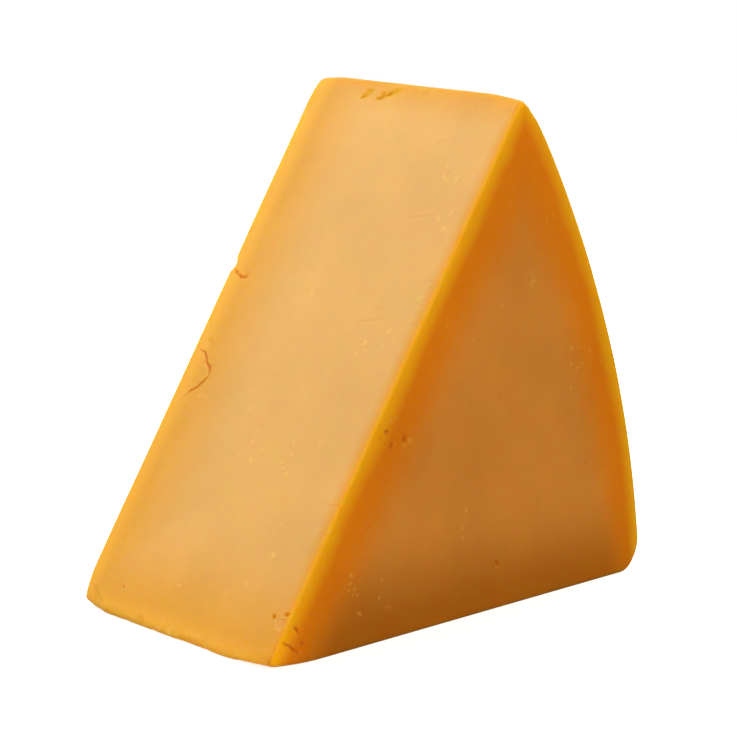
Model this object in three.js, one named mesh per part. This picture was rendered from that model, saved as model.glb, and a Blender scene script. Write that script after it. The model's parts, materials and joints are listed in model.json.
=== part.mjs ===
// A wedge of semi-soft cheese, cut from a low round wheel, lying on one of its two cut faces.
// Millimetres. +X runs along the resting cut face from the apex to the rim, +Y across the
// wheel's thickness, +Z up. The origin is under the middle of the wedge, on its resting face.

import * as THREE from 'three';
import { mergeVertices } from 'three/addons/utils/BufferGeometryUtils.js';

// Driving dimensions
const CUT_LENGTH = 115;          // apex to rim along a cut face, on the front flat face
const WEDGE_ANGLE = 56.6;
const RIM_RADIUS = 190;          // radius of the rim's outward bow
const APEX_THICKNESS = 52;
const RIM_THICKNESS = 56;        // the wheel's height at the rim's two corners
const BACK_GROWTH = 4;           // how much longer the back flat face is than the front one
const BACK_SHIFT = 5.5;
const APEX_RADIUS = 1.2;
const LOWER_RIM_RADIUS = 6;      // rounding of the rim's edge that rests on the table
const UPPER_RIM_RADIUS = 2.2;
const FLAT_EDGE_RADIUS = 0.9;      // stays under the apex and upper rim roundings

// Fineness of the facets
const ARC_STEPS = 8;
const ROUNDING_STEPS = 5;
const WELD_DISTANCE = 1e-4;

const CHEESE_COLOUR = 0xe8b066;

const ORIGIN = new THREE.Vector2(0, 0);
const QUARTER_TURN = Math.PI / 2;

// A point at an angle and a distance from a centre.
function polar(centre, angle, distance) {
  return new THREE.Vector2(
    centre.x + distance * Math.cos(angle),
    centre.y + distance * Math.sin(angle),
  );
}

// The direction from one point to another, as an angle between minus and plus half a turn.
function bearing(from, to) {
  return Math.atan2(to.y - from.y, to.x - from.x);
}

// The centre of the rim's bow, on the line that halves the wedge.
function bowCentre(angle) {
  const halfChord = CUT_LENGTH * Math.sin(angle / 2);
  const chordDistance = CUT_LENGTH * Math.cos(angle / 2);
  const toChord = Math.sqrt(RIM_RADIUS ** 2 - halfChord ** 2);
  return polar(ORIGIN, angle / 2, chordDistance - toChord);
}

// The centre of a rounding that touches the lower cut face and the rim.
function rimRounding(bow, radius) {
  const reach = RIM_RADIUS - radius;
  const rise = radius - bow.y;
  return new THREE.Vector2(bow.x + Math.sqrt(reach ** 2 - rise ** 2), radius);
}

// The same rounding on the upper cut face, mirrored in the line that halves the wedge.
function mirrored(point, angle) {
  return polar(ORIGIN, angle - bearing(ORIGIN, point), point.length());
}

// The outline of the front flat face: two straight cuts, a bowed rim and three round corners.
function flatFaceOutline() {
  const angle = THREE.MathUtils.degToRad(WEDGE_ANGLE);
  const bow = bowCentre(angle);
  const lower = rimRounding(bow, LOWER_RIM_RADIUS);
  const upper = mirrored(rimRounding(bow, UPPER_RIM_RADIUS), angle);
  const apex = polar(ORIGIN, angle / 2, APEX_RADIUS / Math.sin(angle / 2));
  const rimStart = bearing(bow, lower);
  const rimEnd = bearing(bow, upper);

  const outline = new THREE.Shape();
  outline.absarc(lower.x, lower.y, LOWER_RIM_RADIUS, -QUARTER_TURN, rimStart, false);
  outline.absarc(bow.x, bow.y, RIM_RADIUS, rimStart, rimEnd, false);
  outline.absarc(upper.x, upper.y, UPPER_RIM_RADIUS, rimEnd, angle + QUARTER_TURN, false);
  outline.absarc(apex.x, apex.y, APEX_RADIUS, angle + QUARTER_TURN, 3 * QUARTER_TURN, false);
  outline.closePath();
  return outline;
}

// The outline drawn out across the wheel's thickness, with both flat faces' edges rounded.
function straightWedge() {
  const wedge = new THREE.ExtrudeGeometry(flatFaceOutline(), {
    depth: APEX_THICKNESS - 2 * FLAT_EDGE_RADIUS,
    curveSegments: ARC_STEPS,
    bevelSegments: ROUNDING_STEPS,
    bevelSize: FLAT_EDGE_RADIUS,
    bevelOffset: -FLAT_EDGE_RADIUS,
    bevelThickness: FLAT_EDGE_RADIUS,
  });
  wedge.translate(0, 0, FLAT_EDGE_RADIUS);
  wedge.rotateX(QUARTER_TURN);
  wedge.scale(1, -1, 1);
  return wedge;
}

// The hand-cut shape: thicker at the rim, with its back flat face a little longer and shifted.
function handCut(wedge) {
  const half = THREE.MathUtils.degToRad(WEDGE_ANGLE) / 2;
  const toRim = CUT_LENGTH * Math.cos(half);
  const points = wedge.getAttribute('position');
  for (let i = 0; i < points.count; i += 1) {
    const share = points.getY(i) / APEX_THICKNESS;
    const along = (points.getX(i) * Math.cos(half) + points.getZ(i) * Math.sin(half)) / toRim;
    const growth = 1 + share * BACK_GROWTH / CUT_LENGTH;
    const thickness = APEX_THICKNESS + along * (RIM_THICKNESS - APEX_THICKNESS);
    points.setXYZ(
      i,
      points.getX(i) * growth + share * BACK_SHIFT,
      share * thickness,
      points.getZ(i) * growth,
    );
  }
}

// The faces turned to point outwards, with the vertices that neighbours share made one.
function closed(wedge) {
  wedge.deleteAttribute('normal');
  wedge.deleteAttribute('uv');
  const order = [];
  for (let i = 0; i < wedge.getAttribute('position').count; i += 3) {
    order.push(i, i + 2, i + 1);
  }
  wedge.setIndex(order);
  return mergeVertices(wedge, WELD_DISTANCE);
}

// The wedge moved so that the origin is under its middle, on its resting face.
function centred(wedge) {
  wedge.computeBoundingBox();
  const middle = wedge.boundingBox.getCenter(new THREE.Vector3());
  wedge.translate(-middle.x, -middle.y, -wedge.boundingBox.min.z);
  wedge.computeVertexNormals();
  return wedge;
}

function cheeseWedge() {
  const wedge = straightWedge();
  handCut(wedge);
  const cheese = new THREE.MeshStandardMaterial({
    color: CHEESE_COLOUR,
    roughness: 0.45,
    metalness: 0,
  });
  const mesh = new THREE.Mesh(centred(closed(wedge)), cheese);
  mesh.name = 'cheese_wedge';
  return mesh;
}

const part = new THREE.Group();
part.add(cheeseWedge());

export default part;
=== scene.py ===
import json
import math
import random

import bpy
import numpy as np
from mathutils import Matrix, Vector, noise

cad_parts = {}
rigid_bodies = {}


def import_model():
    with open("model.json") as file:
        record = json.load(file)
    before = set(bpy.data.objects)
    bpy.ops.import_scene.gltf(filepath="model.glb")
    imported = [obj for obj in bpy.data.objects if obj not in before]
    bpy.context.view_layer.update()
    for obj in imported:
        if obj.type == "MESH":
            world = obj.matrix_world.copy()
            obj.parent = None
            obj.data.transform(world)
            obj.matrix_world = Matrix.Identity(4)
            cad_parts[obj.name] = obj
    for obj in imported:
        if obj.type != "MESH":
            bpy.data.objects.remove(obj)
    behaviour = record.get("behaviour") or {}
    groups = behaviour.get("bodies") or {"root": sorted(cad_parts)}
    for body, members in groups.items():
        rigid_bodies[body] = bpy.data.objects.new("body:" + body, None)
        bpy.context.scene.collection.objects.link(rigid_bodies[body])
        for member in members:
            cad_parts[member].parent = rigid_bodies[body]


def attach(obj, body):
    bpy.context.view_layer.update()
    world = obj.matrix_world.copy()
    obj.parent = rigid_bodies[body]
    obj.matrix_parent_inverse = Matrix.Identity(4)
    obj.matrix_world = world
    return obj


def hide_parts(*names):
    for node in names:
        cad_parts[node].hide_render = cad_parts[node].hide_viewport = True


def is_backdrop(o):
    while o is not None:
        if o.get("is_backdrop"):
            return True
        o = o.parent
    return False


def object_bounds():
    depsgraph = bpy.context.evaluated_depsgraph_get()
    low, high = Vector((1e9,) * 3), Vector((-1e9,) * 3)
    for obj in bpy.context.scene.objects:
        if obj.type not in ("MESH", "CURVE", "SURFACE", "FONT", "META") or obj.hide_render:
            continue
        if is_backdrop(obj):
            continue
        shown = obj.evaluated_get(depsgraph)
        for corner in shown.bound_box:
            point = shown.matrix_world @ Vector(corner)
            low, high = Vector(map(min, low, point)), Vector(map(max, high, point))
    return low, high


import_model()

bl_info = {
    "name": "Cheese Wedge",
    "version": (1, 0, 0),
    "blender": (4, 5, 0),
    "location": "View3D > Sidebar > Cheese",
    "description": "Models a hand-cut wedge of semi-soft cheese, its wear, its finish and a plain stage",
    "category": "Object",
}

NODE = "cheese_wedge"
CAD_LOW, CAD_HIGH = (Vector(corner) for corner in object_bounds())
MM = 0.001
UP = Vector((0, 0, 1))


# Sizes, colours and lights that a user would change


class CheeseSizes(bpy.types.PropertyGroup):
    cut_length: bpy.props.FloatProperty(
        name="Cut length",
        description="Apex to rim along a cut face, on the front flat face",
        default=0.115, min=0.01, subtype="DISTANCE", unit="LENGTH",
    )
    wedge_angle: bpy.props.FloatProperty(
        name="Wedge angle",
        description="Angle between the two cut faces",
        default=math.radians(56.6), subtype="ANGLE", unit="ROTATION",
    )
    rim_radius: bpy.props.FloatProperty(
        name="Rim radius",
        description="Radius of the rim's outward bow",
        default=0.190, min=0.01, subtype="DISTANCE", unit="LENGTH",
    )
    apex_thickness: bpy.props.FloatProperty(
        name="Apex thickness",
        description="The wheel's height at the apex",
        default=0.052, min=0.005, subtype="DISTANCE", unit="LENGTH",
    )
    rim_thickness: bpy.props.FloatProperty(
        name="Rim thickness",
        description="The wheel's height at the rim's two corners",
        default=0.056, min=0.005, subtype="DISTANCE", unit="LENGTH",
    )
    back_growth: bpy.props.FloatProperty(
        name="Back growth",
        description="How much longer the back flat face is than the front one",
        default=0.004, subtype="DISTANCE", unit="LENGTH",
    )
    back_shift: bpy.props.FloatProperty(
        name="Back shift",
        description="How far the back flat face sits towards the rim",
        default=0.0055, subtype="DISTANCE", unit="LENGTH",
    )
    apex_rounding: bpy.props.FloatProperty(
        name="Apex rounding",
        description="Rounding of the edge where the two cut faces meet",
        default=0.0012, min=0.0005, subtype="DISTANCE", unit="LENGTH",
    )
    lower_rim_rounding: bpy.props.FloatProperty(
        name="Lower rim rounding",
        description="Rounding of the rim's edge that rests on the table",
        default=0.006, min=0.0005, subtype="DISTANCE", unit="LENGTH",
    )
    upper_rim_rounding: bpy.props.FloatProperty(
        name="Upper rim rounding",
        description="Rounding of the rim's upper edge",
        default=0.0022, min=0.0005, subtype="DISTANCE", unit="LENGTH",
    )
    flat_edge_rounding: bpy.props.FloatProperty(
        name="Flat edge rounding",
        description="Rounding around both flat faces",
        default=0.0009, min=0.0002, subtype="DISTANCE", unit="LENGTH",
    )
    surface_step: bpy.props.FloatProperty(
        name="Surface step",
        description="Size of the faces that the smooth surface is made of",
        default=0.0008, min=0.0003, subtype="DISTANCE", unit="LENGTH",
    )


def paint(name, description, default):
    return bpy.props.FloatVectorProperty(
        name=name, description=description, default=default,
        size=3, min=0, max=1, subtype="COLOR",
    )


class CheeseFinish(bpy.types.PropertyGroup):
    # The cut faces' gold edge is painted glow, where light shows through the edges
    cut_edge_glow: paint("Cut face edge", "Gold at the very edges of the cut faces", (0.87, 0.48, 0.062))
    cut_band: paint("Cut face band", "Cut faces just inside their edges", (0.76, 0.39, 0.055))
    # The cut faces' middle is partly the paste and partly painted sheen, paler than the band
    cut_middle_with_sheen: paint("Cut face middle", "Paste in the middle of the cut faces", (0.78, 0.48, 0.170))
    # The outer faces' gold edge and the band inside it are painted glow, where light shows through the
    # edges
    outer_edge_glow: paint("Outer edge", "Gold at the very edges of the outer faces", (0.99, 0.53, 0.008))
    outer_band_glow: paint("Outer band", "Outer faces just inside their edges", (0.85, 0.275, 0.005))
    outer_middle: paint("Outer middle", "Middle of the flat faces and the rim", (0.77, 0.335, 0.084))
    # The outer foot is painted shade: the outer faces darker near the table
    outer_foot_shade: paint("Outer foot", "Shaded outer faces near the table", (0.48, 0.15, 0.0005))
    # Painted shade: darker inside cracks, pits and other grooves
    groove_shade_colour: paint("Cracks", "Inside of cracks and pits", (0.66, 0.17, 0.003))
    gouge_colour: paint("Gouges", "Fresh paste inside the chips", (0.76, 0.42, 0.003))
    # Pale crumbs, and painted highlights on the raised lips
    crumb_and_highlight_colour: paint("Crumbs", "Raised lips and pale specks", (0.98, 0.66, 0.20))


class CheeseLights(bpy.types.PropertyGroup):
    key_power: bpy.props.FloatProperty(
        name="Key light", description="Power of the soft light above and behind the left side",
        default=2.28, min=0, subtype="POWER", unit="POWER",
    )
    sheen_power: bpy.props.FloatProperty(
        name="Sheen light", description="Power of the small light mirrored in the upper cut face",
        default=0.3, min=0, subtype="POWER", unit="POWER",
    )
    fill_power: bpy.props.FloatProperty(
        name="Fill light", description="Power of the soft light in front",
        default=7.1, min=0, subtype="POWER", unit="POWER",
    )
    rim_power: bpy.props.FloatProperty(
        name="Rim light", description="Power of the soft light behind the right side",
        default=5.0, min=0, subtype="POWER", unit="POWER",
    )
    room_light: bpy.props.FloatProperty(
        name="Room light", description="Strength of the even light from all sides",
        default=0.2, min=0,
    )


# Helpers for work in edit mode


def deselect_everything():
    for thing in bpy.context.view_layer.objects:
        thing.select_set(False)
    bpy.context.view_layer.objects.active = None


def activate(piece):
    deselect_everything()
    piece.select_set(True)
    bpy.context.view_layer.objects.active = piece


def edit(piece, kind="VERT"):
    activate(piece)
    bpy.ops.object.mode_set(mode="EDIT")
    bpy.ops.mesh.select_mode(type=kind)


def leave_edit():
    bpy.ops.object.mode_set(mode="OBJECT")


def points_of(piece):
    flat = np.empty(len(piece.data.vertices) * 3)
    piece.data.vertices.foreach_get("co", flat)
    return flat.reshape(-1, 3)


def select_points(piece, chosen):
    """Selects just these vertices, in edit mode."""
    leave_edit()
    mesh = piece.data
    mesh.vertices.foreach_set("select", np.asarray(chosen, bool))
    mesh.edges.foreach_set("select", np.zeros(len(mesh.edges), bool))
    mesh.polygons.foreach_set("select", np.zeros(len(mesh.polygons), bool))
    bpy.ops.object.mode_set(mode="EDIT")


def apply_modifier(piece, name, kind, **values):
    activate(piece)
    modifier = piece.modifiers.new(name, kind)
    for key, value in values.items():
        setattr(modifier, key, value)
    bpy.ops.object.modifier_apply(modifier=modifier.name)


# The shape of the wedge, worked out from its sizes


class WedgeShape:
    """Where the corners, the roundings and the edges of the wedge are."""

    def __init__(self, sizes):
        self.sizes = sizes
        self.length = sizes.cut_length
        self.angle = sizes.wedge_angle
        half_chord = self.length * math.sin(self.angle / 2)
        to_chord = math.sqrt(sizes.rim_radius ** 2 - half_chord ** 2)
        self.bow = self.along_half(self.length * math.cos(self.angle / 2) - to_chord)
        self.lower = self.rim_rounding(sizes.lower_rim_rounding)
        self.upper = self.mirrored(self.rim_rounding(sizes.upper_rim_rounding))
        self.apex = self.along_half(sizes.apex_rounding / math.sin(self.angle / 2))
        self.offset = Vector((0, 0, 0))

    def along_half(self, distance):
        return Vector((math.cos(self.angle / 2), 0, math.sin(self.angle / 2))) * distance

    def rim_rounding(self, radius):
        reach = self.sizes.rim_radius - radius
        rise = radius - self.bow.z
        return Vector((self.bow.x + math.sqrt(reach ** 2 - rise ** 2), 0, radius))

    def mirrored(self, point):
        turn = self.angle - math.atan2(point.z, point.x)
        return Vector((math.cos(turn), 0, math.sin(turn))) * point.length

    def hand_cut(self, x, y, z):
        """Where a point of the straight wedge goes: the rim is thicker and the back face is larger."""
        share = y / self.sizes.apex_thickness
        half = self.angle / 2
        along = (x * math.cos(half) + z * math.sin(half)) / (self.length * math.cos(half))
        growth = 1 + share * self.sizes.back_growth / self.length
        step = self.sizes.rim_thickness - self.sizes.apex_thickness
        thickness = self.sizes.apex_thickness + along * step
        return Vector((x * growth + share * self.sizes.back_shift, share * thickness, z * growth))

    def corner(self, up, rim, back):
        """A sharp corner: on the upper or resting cut face, at the rim or the apex, back or front."""
        turn = self.angle if up else 0
        reach = self.length if rim else 0
        depth = self.sizes.apex_thickness if back else 0
        place = self.hand_cut(reach * math.cos(turn), depth, reach * math.sin(turn))
        return place + self.offset


def bearing(start, end):
    return math.atan2(end.z - start.z, end.x - start.x)


RIM_STEPS = 48
ROUNDING_STEPS = 10
FLAT_EDGE_STEPS = 6


def spin_round(centre, angle, steps):
    """Draws an arc on from the selected vertex, round an axis that runs across the wheel."""
    bpy.ops.mesh.spin(steps=steps, angle=angle, center=centre, axis=(0, 1, 0))


def draw_outline(shape):
    """The front flat face: two straight cuts, the bowed rim and three round corners.

    The plane is only there to be merged into the one point that the outline is drawn from.
    """
    bpy.ops.mesh.primitive_plane_add(size=MM, location=(0, 0, 0))
    piece = bpy.context.object
    edit(piece)
    bpy.ops.mesh.select_all(action="SELECT")
    bpy.ops.mesh.merge(type="CENTER")
    bpy.ops.transform.translate(value=(shape.lower.x, 0, 0))
    rim_start = bearing(shape.bow, shape.lower)
    rim_end = bearing(shape.bow, shape.upper)
    quarter = math.pi / 2
    spin_round(shape.lower, rim_start + quarter, ROUNDING_STEPS)
    spin_round(shape.bow, rim_end - rim_start, RIM_STEPS)
    spin_round(shape.upper, shape.angle + quarter - rim_end, ROUNDING_STEPS)
    slope = Vector((math.cos(shape.angle), 0, math.sin(shape.angle)))
    down = (shape.apex - shape.upper).dot(slope) * slope
    bpy.ops.mesh.extrude_region_move(TRANSFORM_OT_translate={"value": down})
    spin_round(shape.apex, math.pi - shape.angle, ROUNDING_STEPS)
    bpy.ops.mesh.select_all(action="SELECT")
    bpy.ops.mesh.edge_face_add()
    return piece


def block_out(shape):
    """The whole wedge with its flat faces' edges rounded, in its place in the frame."""
    piece = draw_outline(shape)
    across = {"value": (0, shape.sizes.apex_thickness, 0)}
    bpy.ops.mesh.extrude_region_move(TRANSFORM_OT_translate=across)
    bpy.ops.mesh.select_all(action="SELECT")
    bpy.ops.mesh.normals_make_consistent(inside=False)
    leave_edit()
    for vertex in piece.data.vertices:
        vertex.co = shape.hand_cut(*vertex.co)
    edit(piece, "FACE")
    bpy.ops.mesh.select_all(action="DESELECT")
    bpy.ops.mesh.select_face_by_sides(number=4, type="GREATER")
    rounding = shape.sizes.flat_edge_rounding
    bpy.ops.mesh.bevel(offset=rounding, segments=FLAT_EDGE_STEPS, affect="EDGES")
    leave_edit()
    points = points_of(piece)
    middle = (CAD_LOW + CAD_HIGH) / 2 - Vector((points.min(0) + points.max(0)) / 2)
    shape.offset = Vector((middle.x, middle.y, CAD_LOW.z - points[:, 2].min()))
    piece.data.transform(Matrix.Translation(shape.offset))
    return piece


# Where the faces are, so that a mark can be placed in millimetres on one of them


class Face:
    """A flat face: directions along two of its edges, and one out of it."""

    def __init__(self, origin, along, across, inside):
        self.origin = origin
        self.along = along.normalized()
        self.across = across.normalized()
        self.out = self.along.cross(self.across).normalized()
        if self.out.dot(inside - origin) > 0:
            self.out.negate()
        axes = np.array((self.along, self.across, -self.out)).T
        self.to_places = np.linalg.inv(axes).T / MM

    def spread(self, points):
        """Each point's place along and across the face and its depth under it, in mm."""
        return (points - np.array(self.origin)) @ self.to_places


FACE_NAMES = ("upper", "base", "front", "back", "rim")


class Faces:
    """The wedge's five faces. The rim is taken as flat, and its bow is worked out apart."""

    def __init__(self, shape):
        inside = (CAD_LOW + CAD_HIGH) / 2
        front_apex = shape.corner(False, False, False)
        back_apex = shape.corner(False, False, True)
        front_top = shape.corner(True, True, False)
        front_foot = shape.corner(False, True, False)
        back_foot = shape.corner(False, True, True)
        self.upper = Face(front_apex, front_top - front_apex, back_apex - front_apex, inside)
        self.base = Face(front_apex, front_foot - front_apex, back_apex - front_apex, inside)
        self.front = Face(front_apex, front_foot - front_apex, UP, inside)
        self.back = Face(back_apex, back_foot - back_apex, UP, inside)
        self.rim = Face(front_foot, front_top - front_foot, back_foot - front_foot, inside)
        self.shape = shape

    def depth(self, name, points):
        """How deep each point lies under a face, in mm."""
        if name == "rim":
            return self.bowed_depth(points)
        return getattr(self, name).spread(points)[:, 2]

    def second_depth(self, points):
        """Each point's depth under its second nearest face, which is small near an edge."""
        return np.sort([self.depth(name, points) for name in FACE_NAMES], axis=0)[1]

    def bowed_depth(self, points):
        """The depth under the rim, whose axis leans because the back face is the larger one."""
        shape = self.shape
        sizes = shape.sizes
        local = points - np.array(shape.offset)
        share = local[:, 1] / sizes.apex_thickness
        growth = 1 + share * sizes.back_growth / shape.length
        across = local[:, 0] - share * sizes.back_shift - shape.bow.x * growth
        up = local[:, 2] - shape.bow.z * growth
        return (sizes.rim_radius * growth - np.hypot(across, up)) / MM


EDGE_BAND = 1.8    # how far from an edge the smaller faces reach, in mm


def fine_surface(piece, shape, faces):
    """An even skin of small faces laid on the wedge, with smaller ones along its edges."""
    activate(piece)
    bpy.ops.object.duplicate()
    exact = bpy.context.object
    apply_modifier(
        piece, "Even skin", "REMESH",
        mode="VOXEL", voxel_size=shape.sizes.surface_step, use_smooth_shade=True,
    )
    edit(piece)
    select_points(piece, faces.second_depth(points_of(piece)) < EDGE_BAND)
    bpy.ops.mesh.subdivide(number_cuts=1)
    leave_edit()
    apply_modifier(piece, "Laid on", "SHRINKWRAP", target=exact)
    activate(exact)
    bpy.ops.object.delete()


# Wear


def near(points, place, reach):
    """1 at the place, falling smoothly to 0 at the reach."""
    gap = np.linalg.norm(points - np.array(place), axis=1) / reach
    share = np.clip(1 - gap, 0, 1)
    return share * share * (3 - 2 * share)


def weight_group(piece, name, weights, steps=20):
    """A vertex group with weights from 0 to 1, rounded to so many steps."""
    group = piece.vertex_groups.new(name=name)
    levels = np.round(np.asarray(weights) * steps) / steps
    for level in np.unique(levels):
        if level > 0:
            group.add(np.flatnonzero(levels == level).tolist(), float(level), "REPLACE")
    return name


# Each corner: is it upper, at the rim, at the back; the wear's reach and depth in mm
WORN_CORNERS = (
    (False, False, False, 13, 1.0),
    (False, False, True, 8, 0.8),
    (True, True, False, 9, 0.5),
    (True, True, True, 8, 0.5),
    (False, True, False, 4, 0.0),
    (False, True, True, 6, 0.3),
)
CORNER_TIP = 0.4    # mm of a corner that is pushed as one


def press_corner(piece, corner, inside, reach, depth):
    """Pushes a corner in, with the surface round it following less and less."""
    gaps = np.linalg.norm(points_of(piece) - np.array(corner), axis=1)
    edit(piece)
    select_points(piece, gaps < gaps.min() + CORNER_TIP * MM)
    bpy.ops.transform.translate(
        value=(inside - corner).normalized() * depth * MM,
        use_proportional_edit=True,
        proportional_edit_falloff="SHARP",
        proportional_size=reach * MM,
    )
    leave_edit()


def wear_corners(piece, shape):
    """Corners rubbed rounder than the edges between them."""
    inside = (CAD_LOW + CAD_HIGH) / 2
    weights = np.zeros(len(piece.data.vertices))
    for upper, rim, back, reach, depth in WORN_CORNERS:
        corner = shape.corner(upper, rim, back)
        if depth > 0:
            press_corner(piece, corner, inside, reach, depth)
        weights = np.maximum(weights, near(points_of(piece), corner, reach * MM))
    name = weight_group(piece, "Corners", weights)
    apply_modifier(piece, "Worn corners", "SMOOTH", factor=0.5, iterations=60, vertex_group=name)


def waves(piece, name, size, depth, group):
    """Shallow unevenness left by the knife, always inwards."""
    texture = bpy.data.textures.new(name, "CLOUDS")
    texture.noise_scale = size * MM
    texture.noise_depth = 2
    apply_modifier(
        piece, name, "DISPLACE",
        texture=texture, texture_coords="LOCAL", mid_level=1.0,
        strength=depth * MM, vertex_group=group,
    )


def off_table(piece, start, end):
    """0 below one height above the table and 1 above another, both in mm."""
    height = points_of(piece)[:, 2] / MM
    return np.clip((height - start) / (end - start), 0, 1)


def wear_faces(piece):
    """Unevenness everywhere but on the resting face, which stays flat."""
    group = weight_group(piece, "Off the table", off_table(piece, 0.2, 2.2))
    waves(piece, "Broad waves", 34, 0.24, group)
    waves(piece, "Knife ripples", 11, 0.07, group)


# Marks. A path's points are in mm: along a face from the front apex corner, and across it.
# On the upper face that is up the slope and towards the back, on the front and back faces
# along the table and up, and on the rim across the chord and towards the back.


class Mark:
    """One mark: a path on a face, with a width and a depth in mm and its colours' strengths.

    Its groove shade paints shade inside the groove and gold colours the groove; pale paints a
    highlight on its raised lip, and crumb makes a crumb on the surface, whose depth is negative.
    """

    def __init__(
        self, face, path, width, depth,
        lip=0.0, ragged=0.25, groove_shade=0.0, gold=0.0, pale=0.0, crumb=0.0,
    ):
        self.face = face
        self.path = np.array(path, float)
        self.width = width
        self.depth = depth
        self.lip = lip
        self.ragged = ragged
        self.groove_shade = groove_shade
        self.gold = gold
        self.pale = pale
        self.crumb = crumb

    def reach(self):
        """How far from its path the mark acts, lip included, in mm."""
        return 2.6 * self.width + 0.4

    def distance(self, places):
        """Each place's distance to the path, and how much the path has thinned out there."""
        best = np.full(len(places), np.inf)
        thin = np.ones(len(places))
        legs = max(len(self.path) - 1, 1)
        for leg in range(legs):
            start = self.path[leg]
            step = self.path[min(leg + 1, len(self.path) - 1)] - start
            share = np.clip((places - start) @ step / max(step @ step, 1e-9), 0, 1)
            gap = np.linalg.norm(places - start - share[:, None] * step, axis=1)
            travelled = (leg + share) / legs
            taper = 1 - 0.6 * np.abs(2 * travelled - 1) ** 3
            closer = gap < best
            best = np.where(closer, gap, best)
            thin = np.where(closer, taper, thin)
        return best, thin


# Each kind's groove shade strength is painted shade inside its groove; pale is a painted highlight on
# its lip
def crack(face, *path):
    return Mark(face, path, 0.3, 0.3, lip=0.05, groove_shade=0.8, pale=0.2, ragged=0.2)


def scratch(face, *path):
    return Mark(face, path, 0.3, 0.07, lip=0.03, groove_shade=0.15, pale=0.3, ragged=0.1)


def crease(face, *path):
    return Mark(face, path, 0.8, 0.16, lip=0.06, groove_shade=0.12, pale=0.25, ragged=0.3)


def chip(face, *path):
    return Mark(face, path, 0.95, 0.35, lip=0.1, gold=1.0, pale=0.1, ragged=0.7)


def pit(face, *path):
    return Mark(face, path, 0.42, 0.25, lip=0.07, groove_shade=0.8, pale=0.1, ragged=0.2)


def hollow(face, *path):
    return Mark(face, path, 0.75, 0.4, lip=0.1, groove_shade=0.9, pale=0.1, ragged=0.4)


def dent(face, *path):
    return Mark(face, path, 2.0, 0.6, ragged=0.4)


def streak(face, *path):
    return Mark(face, path, 0.5, 0.45, gold=1.0, groove_shade=0.3, ragged=0.3)


def speck(face, *path):
    return Mark(face, path, 0.36, -0.07, crumb=0.8, ragged=0.25)


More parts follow.
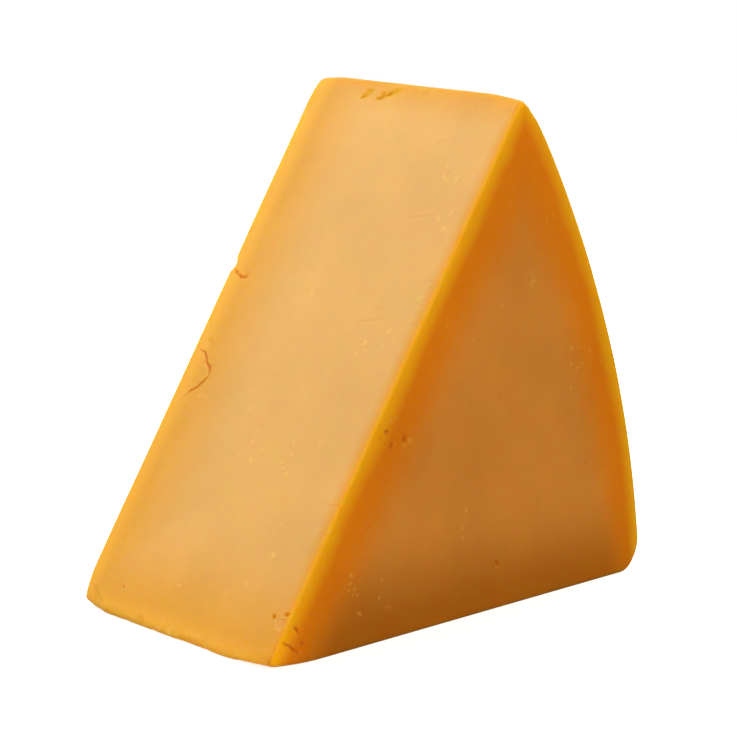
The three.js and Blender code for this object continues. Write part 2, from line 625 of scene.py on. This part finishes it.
MARKS = (
    # along the upper face's top edge: two chips with deeper gold streaks, a crease and scratches
    chip("upper", (111.9, 40.7), (114.0, 39.0)),
    chip("upper", (112.1, 36.7), (113.0, 34.2), (114.3, 31.1)),
    streak("upper", (111.7, 40.9), (113.2, 39.6)),
    streak("upper", (112.0, 36.8), (112.9, 34.4), (113.8, 32.4)),
    scratch("upper", (114.3, 31.1), (114.7, 29.0)),
    crease("upper", (114.6, 24.8), (112.9, 23.9)),
    scratch("upper", (110.7, 16.0), (112.4, 12.8)),
    scratch("upper", (111.8, 2.4), (109.9, 0.7)),
    scratch("upper", (103.9, 30.5), (107.0, 29.2)),
    # knife lines in the middle of the slope
    scratch("upper", (86.7, 15.2), (87.6, 8.9)),
    scratch("upper", (64.1, 16.7), (65.3, 12.3), (66.5, 7.4)),
    scratch("upper", (68.2, 13.9), (67.8, 9.9)),
    scratch("upper", (74.0, 4.6), (74.5, 1.7)),
    # the notch in the back edge, and the long crack below it
    dent("upper", (74.2, 55.4), (70.8, 54.9)),
    pit("upper", (71.1, 53.0), (70.9, 52.0), (69.9, 50.2), (70.0, 49.0), (70.9, 48.6)),
    pit("upper", (71.6, 49.6)),
    crease("upper", (56.1, 51.0), (55.3, 49.3)),
    crack("upper", (53.8, 52.2), (53.2, 50.0), (51.5, 48.5), (49.9, 46.6), (48.4, 46.4)),
    crack("upper", (49.0, 46.3), (47.6, 46.9), (46.3, 47.7), (45.1, 49.2), (43.8, 50.0)),
    scratch("upper", (44.4, 49.7), (43.5, 50.3), (41.9, 51.7)),
    # the crumbly foot of the front edge, by the table
    streak("upper", (9.6, 3.9), (9.9, 3.3)),
    streak("upper", (10.4, 1.7), (11.0, 0.7)),
    crease("upper", (9.7, 2.6), (9.0, 1.6), (9.9, 0.9)),
    speck("upper", (9.6, 2.3), (9.2, 1.4)),
    crack("front", (6.7, 7.3), (7.6, 6.4), (8.3, 5.4)),
    pit("front", (9.0, 4.2), (9.5, 3.2)),
    crack("front", (4.5, 4.8), (6.8, 3.4), (9.0, 1.6)),
    # the worn back corner and the lower edge of the slope
    crease("upper", (5.0, 50.0), (3.5, 48.4), (2.0, 45.1)),
    pit("upper", (3.7, 41.3)),
    crease("upper", (2.0, 35.5), (2.0, 33.0)),
    crease("upper", (1.4, 23.2), (1.3, 19.9), (1.2, 16.6)),
    speck("upper", (1.6, 29.4), (1.5, 28.3)),
    speck("upper", (1.5, 27.0), (1.4, 25.4)),
    speck("upper", (1.4, 24.4), (1.3, 23.6)),
    speck("upper", (2.2, 42.0), (1.9, 40.9)),
    # the front flat face: hollows by the sloping edge with crumbs beside them, creases and pits
    hollow("front", (26.9, 36.1)),
    hollow("front", (28.3, 37.6), (28.6, 36.6)),
    hollow("front", (29.7, 34.5), (30.4, 34.2)),
    hollow("front", (33.0, 35.0), (34.0, 35.3)),
    speck("front", (30.6, 34.9), (30.9, 34.4)),
    speck("front", (33.2, 34.1), (33.6, 34.2)),
    speck("front", (34.8, 34.8), (35.2, 35.4)),
    crease("front", (73.2, 73.8), (74.4, 72.1)),
    crease("front", (67.6, 62.4), (70.0, 60.8)),
    pit("front", (61.4, 82.9)),
    pit("front", (71.8, 80.6)),
    pit("front", (74.2, 79.9)),
    pit("front", (31.3, 41.6)),
    pit("front", (99.4, 27.6)),
    pit("front", (62.4, 9.5), (63.8, 8.2)),
    pit("front", (32.4, 14.3)),
    pit("front", (38.8, 7.6)),
    pit("front", (26.1, 7.7)),
    pit("front", (17.7, 7.3)),
    pit("front", (51.7, 17.3)),
    pit("front", (54.0, 16.0)),
    # the hidden faces wear in the same way
    crack("back", (104.0, 14.0), (106.0, 16.5), (106.5, 19.5), (108.5, 22.0)),
    chip("back", (101.5, 52.0), (100.0, 50.0)),
    crease("back", (20.0, 22.0), (22.5, 21.0), (24.0, 18.5)),
    crack("rim", (30.0, 9.0), (33.0, 8.0), (35.0, 9.5), (39.0, 9.0), (41.0, 11.0)),
    crease("rim", (78.0, 38.0), (81.0, 40.5), (84.5, 40.0)),
    chip("rim", (56.0, 54.5), (58.5, 55.5)),
)

# Clusters of pale specks: face, middle in mm, how many, and how far they spread in mm
SPECKLED = (
    ("upper", (96.0, 8.5), 8, 3.0),
    ("upper", (88.0, 5.5), 7, 2.5),
    ("upper", (70.0, 3.5), 8, 4.0),
    ("upper", (62.0, 10.0), 6, 4.0),
    ("upper", (37.0, 14.5), 8, 5.0),
    ("upper", (36.0, 27.0), 5, 5.0),
    ("upper", (18.4, 10.0), 3, 1.5),
    ("upper", (45.4, 45.0), 3, 1.5),
    ("upper", (4.0, 30.0), 5, 6.0),
    ("front", (68.5, 61.5), 6, 2.0),
    ("front", (88.0, 45.0), 6, 6.0),
    ("front", (30.0, 40.0), 6, 4.0),
    ("front", (24.0, 10.0), 9, 7.0),
    ("front", (52.5, 17.0), 5, 2.0),
    ("back", (50.0, 30.0), 9, 9.0),
    ("back", (80.0, 55.0), 8, 6.0),
    ("rim", (40.0, 30.0), 9, 9.0),
    ("rim", (75.0, 20.0), 6, 6.0),
)

# How many small marks are scattered over each face, and between which places along and
# across it, in mm. These are the faces that can hold a mark, since the resting face has none.
SCATTER = {
    "upper": (22, (6, 110), (4, 48)),
    "front": (24, (14, 100), (5, 60)),
    "back": (24, (14, 100), (5, 60)),
    "rim": (18, (6, 102), (4, 50)),
}
SCATTER_SEED = 11
WOBBLE_SEED = 5


def short_path(draw, place, length):
    """A path of one straight leg that starts at the place and runs at some angle."""
    turn = draw.uniform(0, math.pi)
    end = (place[0] + length * math.cos(turn), place[1] + length * math.sin(turn))
    return place, end


def scattered_marks():
    """Tiny pits, pale specks and short scratches that the whole surface has."""
    draw = random.Random(SCATTER_SEED)
    marks = []
    for face, (count, along, across) in SCATTER.items():
        for _ in range(count):
            place = (draw.uniform(*along), draw.uniform(*across))
            kind = draw.choice((speck, speck, pit, scratch))
            length = draw.uniform(1.5, 4.0) if kind is scratch else draw.uniform(0.0, 0.5)
            mark = kind(face, *short_path(draw, place, length))
            mark.width *= draw.uniform(0.6, 1.0)
            mark.depth *= draw.uniform(0.5, 0.9)
            marks.append(mark)
    for face, middle, count, spread in SPECKLED:
        for _ in range(count):
            place = tuple(value + draw.gauss(0, spread / 2) for value in middle)
            mark = speck(face, *short_path(draw, place, draw.uniform(0.1, 0.9)))
            mark.width *= draw.uniform(0.6, 1.0)
            marks.append(mark)
    return marks


WOBBLE_SIZE = 1.1     # mm from one bend of a groove's edge to the next
WOBBLE_ROOM = 0.5     # mm kept round a mark for its wobble
GROOVED = 0.02        # mm pressed in, past which a point lies in a groove and has no lip
MARK_DEPTH = 3.5      # mm under a face to which its marks act
REFINE_DEPTH = 1.5    # mm under a face to which smaller faces are made for its marks
NARROW = 0.7          # marks narrower than this, in mm,
DEEP = 0.2            # and deeper than this get the smallest faces


def wander(points):
    """A small sideways wobble for each point, so that no groove has a ruled edge."""
    scaled = points / (WOBBLE_SIZE * MM)
    return np.array([noise.noise_vector(Vector(point)) for point in scaled])


class MarkField:
    """What all the marks together do at each point of the surface, in mm and from 0 to 1."""

    def __init__(self, points, faces, marks):
        count = len(points)
        self.pressed = np.zeros(count)
        self.raised = np.zeros(count)
        self.groove_shade = np.zeros(count)
        self.gold = np.zeros(count)
        self.pale = np.zeros(count)
        for name in SCATTER:
            places = getattr(faces, name).spread(points)
            shallow = faces.depth(name, points) < MARK_DEPTH
            for mark in marks:
                if mark.face == name:
                    self.add(mark, points, places, shallow)

    def add(self, mark, points, places, shallow):
        """A groove along the mark's path, with a broken lip just outside it."""
        chosen = around(mark, places, shallow, WOBBLE_ROOM)
        if not len(chosen):
            return
        wobble = wander(points[chosen])
        gap, thin = mark.distance(places[chosen, :2] + wobble[:, :2] * mark.ragged)
        span = np.maximum(mark.width * thin, 0.05)
        groove = np.clip(1 - gap / span, 0, 1) ** 0.8
        core = np.clip(groove * 2, 0, 1)
        floor = 1 + wobble[:, 2] * min(1.4 * mark.ragged, 0.6)
        lip = np.clip(1 - np.abs(gap / span - 1.35) / 0.7, 0, 1)
        ring = lip * np.clip(0.55 + 1.6 * wobble[:, 1], 0, 1)
        self.keep(self.pressed, chosen, groove * floor * mark.depth * thin)
        self.keep(self.raised, chosen, ring * mark.lip - groove * floor * mark.depth)
        # Painted shade in the groove's core
        self.keep(self.groove_shade, chosen, core * mark.groove_shade * thin)
        self.keep(self.gold, chosen, core * mark.gold)
        # The lip ring is a painted highlight; a crumb's core is its own pale colour
        self.keep(self.pale, chosen, ring * mark.pale + core * mark.crumb)

    def keep(self, field, chosen, values):
        """Where two marks meet, the stronger one shows."""
        field[chosen] = np.maximum(field[chosen], values)


def around(mark, places, shallow, margin):
    """The points whose place lies in the box round a mark."""
    low = mark.path.min(0) - mark.reach() - margin
    high = mark.path.max(0) + mark.reach() + margin
    return np.flatnonzero(shallow & (places[:, :2] > low).all(1) & (places[:, :2] < high).all(1))


def near_marks(points, faces, marks, margin):
    """Which points lie close enough to a mark to need smaller faces."""
    chosen = np.zeros(len(points), bool)
    for name in SCATTER:
        places = getattr(faces, name).spread(points)
        shallow = faces.depth(name, points) < REFINE_DEPTH
        for mark in marks:
            if mark.face == name:
                rows = around(mark, places, shallow, margin)
                gap, _ = mark.distance(places[rows, :2])
                chosen[rows[gap < 1.5 * mark.width + margin]] = True
    return chosen


def drop_idle_points(piece):
    """Removes points that only divide an edge, because no other edge meets them."""
    mesh = piece.data
    ends = np.empty(len(mesh.edges) * 2, np.int32)
    mesh.edges.foreach_get("vertices", ends)
    edges_each = np.bincount(ends, minlength=len(mesh.vertices))
    edit(piece)
    select_points(piece, edges_each == 2)
    bpy.ops.mesh.dissolve_verts()
    leave_edit()


def refine(piece, faces, marks):
    """Smaller faces where the marks go, and smaller ones again for narrow deep marks."""
    narrow = [mark for mark in marks if mark.width < NARROW and mark.depth > DEEP]
    for group, margin in ((marks, 0.4), (narrow, 0.1)):
        edit(piece)
        select_points(piece, near_marks(points_of(piece), faces, group, margin))
        bpy.ops.mesh.subdivide(number_cuts=1)
        leave_edit()
    drop_idle_points(piece)


def write_mask(piece, name, values):
    """Keeps a value from 0 to 1 at each point, for the material to read."""
    mask = piece.data.attributes.new(name, "FLOAT", "POINT")
    mask.data.foreach_set("value", np.clip(values, 0, 1).astype(np.float32))


def push(piece, name, amounts):
    """Moves the surface out, or in where the amounts are negative, by so many mm."""
    reach = np.abs(amounts).max()
    if amounts.min() < 0:
        reach = -reach
    group = weight_group(piece, name, amounts / reach, 400)
    apply_modifier(
        piece, name, "DISPLACE", strength=float(reach) * MM, mid_level=0.0, vertex_group=group,
    )


def mark_faces(piece, faces):
    """Presses the marks in, raises their lips and crumbs, and writes their colour masks."""
    marks = list(MARKS) + scattered_marks()
    noise.seed_set(WOBBLE_SEED)
    refine(piece, faces, marks)
    field = MarkField(points_of(piece), faces, marks)
    # Painted shade inside the grooves
    write_mask(piece, "groove_shade", field.groove_shade)
    write_mask(piece, "gold", field.gold)
    # The pale mask holds painted highlights on the lips and the pale crumbs
    write_mask(piece, "pale", field.pale * (1 - field.groove_shade))
    push(piece, "Pressed in", -field.pressed)
    lips = np.where(field.pressed > GROOVED, 0, field.raised)
    push(piece, "Raised lips", lips * off_table(piece, 0.5, 1.5))


OUTER_BLEND = 1.2     # mm over which a cut face's colours give way to an outer face's
INSET_SPAN = 20.0     # mm from an edge at which the inset mask is 1
# The foot mask paints shade on the outer faces near the table
FOOT_SPAN = 20.0      # mm above the table at which the foot mask is 0
FOOT_INSET = 14.0     # mm inside an outer face's other edges at which the foot mask is full
FRONT_SHARPNESS = 5.0    # times the cut faces' distance from the front face counts extra
RIM_SHARPNESS = 0.8      # times their distance from the rim counts extra


def mask_faces(piece, faces):
    """Writes masks of the wheel's outside, of the way in from the edges and of the foot, where
    painted shade darkens the outer faces near the table.

    The edge on the table has no painted gold glow on the outer faces, so there it counts as far
    away. The cut faces have narrower bands along the front and the rim, so there the way in is
    longer.
    """
    points = points_of(piece)
    depths = {name: faces.depth(name, points) for name in FACE_NAMES}
    cut = np.minimum(depths["upper"], depths["base"])
    outside = np.minimum(np.minimum(depths["front"], depths["back"]), depths["rim"])
    outer = np.clip(0.5 + (cut - outside) / OUTER_BLEND, 0, 1)
    write_mask(piece, "outer", outer)
    low = 1 - depths["base"] / FOOT_SPAN
    depths["base"] = depths["base"] + outer * INSET_SPAN
    depths["front"] = depths["front"] * (1 + FRONT_SHARPNESS * (1 - outer))
    depths["rim"] = depths["rim"] * (1 + RIM_SHARPNESS * (1 - outer))
    inset = np.sort(list(depths.values()), axis=0)[1]
    write_mask(piece, "inset", inset / INSET_SPAN)
    # The foot: painted shade on the outer faces near the table
    write_mask(piece, "foot", outer * low * np.clip(inset / FOOT_INSET, 0, 1))


def build_cheese(sizes):
    """The finished mesh: blocked out, covered in small faces, worn, marked and masked."""
    shape = WedgeShape(sizes)
    piece = block_out(shape)
    faces = Faces(shape)
    fine_surface(piece, shape, faces)
    wear_corners(piece, shape)
    wear_faces(piece)
    mark_faces(piece, faces)
    mask_faces(piece, faces)
    piece.name = "cheese"
    piece.data.name = "cheese"
    return piece


# Finish


class Tree:
    """Adds and links nodes of one tree."""

    def __init__(self, tree):
        self.tree = tree
        tree.nodes.clear()

    def node(self, kind, settings=None, **inputs):
        made = self.tree.nodes.new(kind)
        for key, value in (settings or {}).items():
            setattr(made, key, value)
        for key, value in inputs.items():
            self.feed(made.inputs[key.replace("_", " ")], value)
        return made

    def feed(self, socket, value):
        if isinstance(value, bpy.types.NodeSocket):
            self.tree.links.new(value, socket)
        else:
            socket.default_value = value


def colour(values):
    return (*values, 1.0)


def mix(t, factor, low, high):
    """A colour between two others."""
    made = t.node("ShaderNodeMix", {"data_type": "RGBA"})
    t.feed(made.inputs["Factor"], factor)
    t.feed(made.inputs["A"], low)
    t.feed(made.inputs["B"], high)
    return made.outputs["Result"]


def scale(t, value, start, end, low=0.0, high=1.0):
    """A value's place between a start and an end, as a smooth mask."""
    made = t.node("ShaderNodeMapRange", {"interpolation_type": "SMOOTHSTEP"}, Value=value)
    made.inputs["From Min"].default_value = start
    made.inputs["From Max"].default_value = end
    made.inputs["To Min"].default_value = low
    made.inputs["To Max"].default_value = high
    return made.outputs["Result"]


def calculate(t, operation, first, second):
    made = t.node("ShaderNodeMath", {"operation": operation})
    t.feed(made.inputs[0], first)
    t.feed(made.inputs[1], second)
    return made.outputs["Value"]


def noise_value(t, place, count, detail, roughness):
    """Noise from 0 to 1 with about so many bumps to the metre."""
    made = t.node(
        "ShaderNodeTexNoise", Vector=place, Scale=count, Detail=detail, Roughness=roughness,
    )
    return made.outputs["Fac"]


def face_colours(t, finish, mask, inset, place):
    """Each face's colour, from a painted glow at its edges through a band to its middle.

    On the outer faces the band is that painted glow fading in, and near the table they darken to a
    painted shade. The cut faces' paler middle is partly paste and partly a painted sheen. The two
    numbers after inset are the way in from the edge, as shares of INSET_SPAN. High up, the outer
    faces' middle is nearer to the band's colour, so their painted glow is redder there.
    """
    # Gold edges, and the band on the outer faces, are painted glow of light through the edges
    cut = mix(t, scale(t, inset, 0.03, 0.26), colour(finish.cut_edge_glow), colour(finish.cut_band))
    # The cut faces' paler middle is partly painted sheen
    cut = mix(t, scale(t, inset, 0.12, 0.95), cut, colour(finish.cut_middle_with_sheen))
    rind = mix(t, scale(t, inset, 0.05, 0.26), colour(finish.outer_edge_glow), colour(finish.outer_band_glow))
    height = t.node("ShaderNodeSeparateXYZ", Vector=place).outputs["Z"]
    # Higher up, the middle of the outer faces takes more of the band's painted glow, redder towards the
    # top
    high = scale(t, height, 55 * MM, 85 * MM, 0.0, 0.6)
    middle = mix(t, high, colour(finish.outer_middle), colour(finish.outer_band_glow))
    rind = mix(t, scale(t, inset, 0.27, 0.90), rind, middle)
    # Painted shade darkens the outer faces near the table
    foot_shade = scale(t, mask["foot"], 0.0, 1.0, 0.0, 0.88)
    rind = mix(t, foot_shade, rind, colour(finish.outer_foot_shade))
    return mix(t, mask["outer"], cut, rind)


def mark_colours(t, finish, mask, paste):
    """Chips' gold, painted shade in cracks and pits, pale crumbs and painted highlights on lips."""
    gold = calculate(t, "MULTIPLY", mask["gold"], 0.9)
    # Pale: painted highlights on the lips and the crumbs' own pale colour
    pale = calculate(t, "MULTIPLY", mask["pale"], 0.6)
    paste = mix(t, gold, paste, colour(finish.gouge_colour))
    # Painted shade inside cracks, pits and other grooves
    paste = mix(t, mask["groove_shade"], paste, colour(finish.groove_shade_colour))
    return mix(t, pale, paste, colour(finish.crumb_and_highlight_colour))


def mottle(t, paste, clouds, patches, grain):
    """Small changes of hue, brightness and saturation, each at its own size."""
    shade = t.node("ShaderNodeHueSaturation", Color=paste)
    t.feed(shade.inputs["Hue"], scale(t, patches, 0.2, 0.8, 0.4975, 0.5025))
    t.feed(shade.inputs["Value"], scale(t, clouds, 0.2, 0.8, 0.93, 1.06))
    t.feed(shade.inputs["Saturation"], scale(t, grain, 0.2, 0.8, 1.03, 0.96))
    return shade.outputs["Color"]


EDGE_UNREST = 0.22    # how unevenly the bands run along the edges, as a share of INSET_SPAN


def cheese_material(finish):
    """Waxy paste: coloured by the masks, mottled, finely grained and lit from under its skin."""
    material = bpy.data.materials.new("Cheese paste")
    material.use_nodes = True
    t = Tree(material.node_tree)
    place = t.node("ShaderNodeTexCoord").outputs["Object"]
    mask = {
        name: t.node("ShaderNodeAttribute", {"attribute_name": name}).outputs["Fac"]
        for name in ("outer", "inset", "foot", "groove_shade", "gold", "pale")
    }
    clouds = noise_value(t, place, 38.0, 3.0, 0.55)
    patches = noise_value(t, place, 210.0, 5.0, 0.62)
    grain = noise_value(t, place, 1500.0, 4.0, 0.6)
    unrest = calculate(t, "SUBTRACT", clouds, 0.5)
    inset = calculate(t, "ADD", mask["inset"], calculate(t, "MULTIPLY", unrest, EDGE_UNREST))
    paste = face_colours(t, finish, mask, inset, place)
    paste = mark_colours(t, finish, mask, paste)
    relief = calculate(t, "ADD", grain, patches)
    bump = t.node("ShaderNodeBump", Height=relief, Strength=0.08, Distance=0.3 * MM)
    shader = t.node("ShaderNodeBsdfPrincipled")
    t.feed(shader.inputs["Base Color"], mottle(t, paste, clouds, patches, grain))
    t.feed(shader.inputs["Normal"], bump.outputs["Normal"])
    t.feed(shader.inputs["Roughness"], scale(t, patches, 0.2, 0.8, 0.45, 0.56))
    shader.inputs["Specular IOR Level"].default_value = 0.15
    shader.inputs["Subsurface Weight"].default_value = 1.0
    shader.inputs["Subsurface Radius"].default_value = (1.0, 0.42, 0.12)
    shader.inputs["Subsurface Scale"].default_value = 3.2 * MM
    t.node("ShaderNodeOutputMaterial", Surface=shader.outputs["BSDF"])
    return material


class CHEESE_OT_wedge(bpy.types.Operator):
    """Model the cheese wedge with its wear and marks, and give it its finish"""

    bl_idname = "cheese.wedge"
    bl_label = "Cheese wedge"

    def execute(self, context):
        scene = context.scene
        piece = build_cheese(scene.cheese_sizes)
        piece.data.materials.clear()
        piece.data.materials.append(cheese_material(scene.cheese_finish))
        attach(piece, "root")
        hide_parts(NODE)
        return {"FINISHED"}


# Stage


# Each light: name, place and width in metres, and tint
LIGHTS = (
    ("Key", (-0.25, 0.25, 0.54), 0.4, (1, 1, 1)),
    ("Sheen", (-0.16, 0.42, 0.41), 0.3, (1, 1, 1)),
    ("Fill", (-0.2, -0.85, 0.55), 0.9, (1, 0.82, 0.42)),
    ("Rim", (0.9, 0.2, 0.35), 0.4, (1, 1, 1)),
)


def soft_light(name, place, size, tint, power):
    """A round lamp that faces the middle of the object."""
    light = bpy.data.lights.new(name, "AREA")
    light.shape = "DISK"
    light.size = size
    light.energy = power
    light.color = tint
    lamp = bpy.data.objects.new(name, light)
    bpy.context.scene.collection.objects.link(lamp)
    lamp.location = place
    aim = (CAD_LOW + CAD_HIGH) / 2 - Vector(place)
    lamp.rotation_euler = aim.to_track_quat("-Z", "Y").to_euler()


WHITE = (1, 1, 1, 1)
TABLE_WIDTH = 60          # metres, so that its edge is never seen
TABLE_SEEN = (0.92, 0.92, 0.92, 1)
TABLE_BOUNCE = (0.12, 0.09, 0.06, 1)
LIT_BOUNCE = (0.85, 0.72, 0.50, 1)
LIT_TINT = (1.0, 0.8, 0.45, 1)
LIT_GLOW = 0.25           # light that the lit part sends up
LIT_X = (-70 * MM, -40 * MM)    # the lit part lies beside the apex and fades out over this x
LIT_Y = (-45 * MM, -25 * MM)    # and towards the front over this y


def whitening(t, place):
    """Rises evenly from 0.8 near the object to 1 at a metre away."""
    reach = t.node("ShaderNodeVectorMath", {"operation": "LENGTH"})
    t.feed(reach.inputs[0], place)
    fade = t.node("ShaderNodeMapRange", Value=reach.outputs["Value"])
    fade.inputs["From Min"].default_value = 0.1
    fade.inputs["From Max"].default_value = 1.0
    fade.inputs["To Min"].default_value = 0.8
    return fade.outputs["Result"]


def lay_floor():
    """A wide pale table that whitens away from the object.

    The camera sees it as plain near-white. The object gets little light back from it, except
    from the lit part beside the apex.
    """
    bpy.ops.mesh.primitive_plane_add(size=TABLE_WIDTH, location=(0, 0, 0))
    floor = bpy.context.object
    floor.name = "floor"
    material = bpy.data.materials.new("Pale floor")
    material.use_nodes = True
    t = Tree(material.node_tree)
    place = t.node("ShaderNodeTexCoord").outputs["Object"]
    seen = t.node("ShaderNodeLightPath").outputs["Is Camera Ray"]
    unseen = calculate(t, "SUBTRACT", 1.0, seen)
    split = t.node("ShaderNodeSeparateXYZ", Vector=place)
    lit = calculate(
        t, "MULTIPLY",
        scale(t, split.outputs["X"], *LIT_X, 1.0, 0.0),
        scale(t, split.outputs["Y"], *LIT_Y),
    )
    shader = t.node("ShaderNodeBsdfPrincipled")
    bounce = mix(t, lit, TABLE_BOUNCE, LIT_BOUNCE)
    t.feed(shader.inputs["Base Color"], mix(t, seen, bounce, TABLE_SEEN))
    glow = calculate(
        t, "ADD",
        calculate(t, "MULTIPLY", whitening(t, place), seen),
        calculate(t, "MULTIPLY", calculate(t, "MULTIPLY", lit, LIT_GLOW), unseen),
    )
    t.feed(shader.inputs["Emission Strength"], glow)
    t.feed(shader.inputs["Emission Color"], mix(t, seen, LIT_TINT, WHITE))
    shader.inputs["Roughness"].default_value = 0.9
    shader.inputs["Specular IOR Level"].default_value = 0.1
    t.node("ShaderNodeOutputMaterial", Surface=shader.outputs["BSDF"])
    floor.data.materials.append(material)
    floor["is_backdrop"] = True


ROOM_TINT = (1.0, 0.86, 0.48, 1)


def studio_world(room_light):
    """White where it is seen, and a dim even light on the object."""
    world = bpy.data.worlds.new("Studio")
    world.use_nodes = True
    t = Tree(world.node_tree)
    seen = t.node("ShaderNodeLightPath").outputs["Is Camera Ray"]
    strength = t.node("ShaderNodeMapRange", Value=seen)
    strength.inputs["To Min"].default_value = room_light
    tint = mix(t, seen, ROOM_TINT, WHITE)
    sky = t.node("ShaderNodeBackground", Color=tint, Strength=strength.outputs["Result"])
    t.node("ShaderNodeOutputWorld", Surface=sky.outputs["Background"])
    return world


CAMERA_PLACE = Vector((-276.2, -223.2, 89.35)) * MM
CAMERA_YAW = math.radians(-50.53)
CAMERA_PITCH = math.radians(7.605)    # how far it looks down
CAMERA_ROLL = math.radians(2.771)
CAMERA_LENS = 90.9    # mm, on a sensor 36 mm wide


def place_camera():
    lens = bpy.data.cameras.new("Camera")
    lens.lens = CAMERA_LENS
    lens.sensor_width = 36
    camera = bpy.data.objects.new("Camera", lens)
    bpy.context.scene.collection.objects.link(camera)
    turn = Matrix.Rotation(CAMERA_YAW, 4, "Z")
    tip = Matrix.Rotation(math.pi / 2 - CAMERA_PITCH, 4, "X")
    roll = Matrix.Rotation(CAMERA_ROLL, 4, "Z")
    camera.matrix_world = Matrix.Translation(CAMERA_PLACE) @ turn @ tip @ roll
    return camera


class CHEESE_OT_stage(bpy.types.Operator):
    """Set up a pale floor, soft studio lights and the camera"""

    bl_idname = "cheese.stage"
    bl_label = "Stage"

    def execute(self, context):
        lights = context.scene.cheese_lights
        deselect_everything()
        lay_floor()
        powers = (lights.key_power, lights.sheen_power, lights.fill_power, lights.rim_power)
        for (name, place, size, tint), power in zip(LIGHTS, powers):
            soft_light(name, place, size, tint, power)
        context.scene.world = studio_world(lights.room_light)
        context.scene.camera = place_camera()
        context.scene.view_settings.view_transform = "Standard"
        return {"FINISHED"}


class CHEESE_PT_panel(bpy.types.Panel):
    """Lists the sizes, the finish, the lights and the operators"""

    bl_idname = "CHEESE_PT_panel"
    bl_label = "Cheese Wedge"
    bl_space_type = "VIEW_3D"
    bl_region_type = "UI"
    bl_category = "Cheese"

    def draw(self, context):
        for group in (
            context.scene.cheese_sizes, context.scene.cheese_finish, context.scene.cheese_lights,
        ):
            box = self.layout.box()
            for name in group.__annotations__:
                box.prop(group, name)
        self.layout.operator("cheese.wedge")
        self.layout.operator("cheese.stage")


CLASSES = (
    CheeseSizes, CheeseFinish, CheeseLights, CHEESE_OT_wedge, CHEESE_OT_stage, CHEESE_PT_panel,
)


def register():
    for kind in CLASSES:
        bpy.utils.register_class(kind)
    bpy.types.Scene.cheese_sizes = bpy.props.PointerProperty(type=CheeseSizes)
    bpy.types.Scene.cheese_finish = bpy.props.PointerProperty(type=CheeseFinish)
    bpy.types.Scene.cheese_lights = bpy.props.PointerProperty(type=CheeseLights)


def unregister():
    del bpy.types.Scene.cheese_lights
    del bpy.types.Scene.cheese_finish
    del bpy.types.Scene.cheese_sizes
    for kind in reversed(CLASSES):
        bpy.utils.unregister_class(kind)


def main():
    register()
    bpy.ops.cheese.wedge()
    bpy.ops.cheese.stage()


if __name__ == "__main__":
    main()
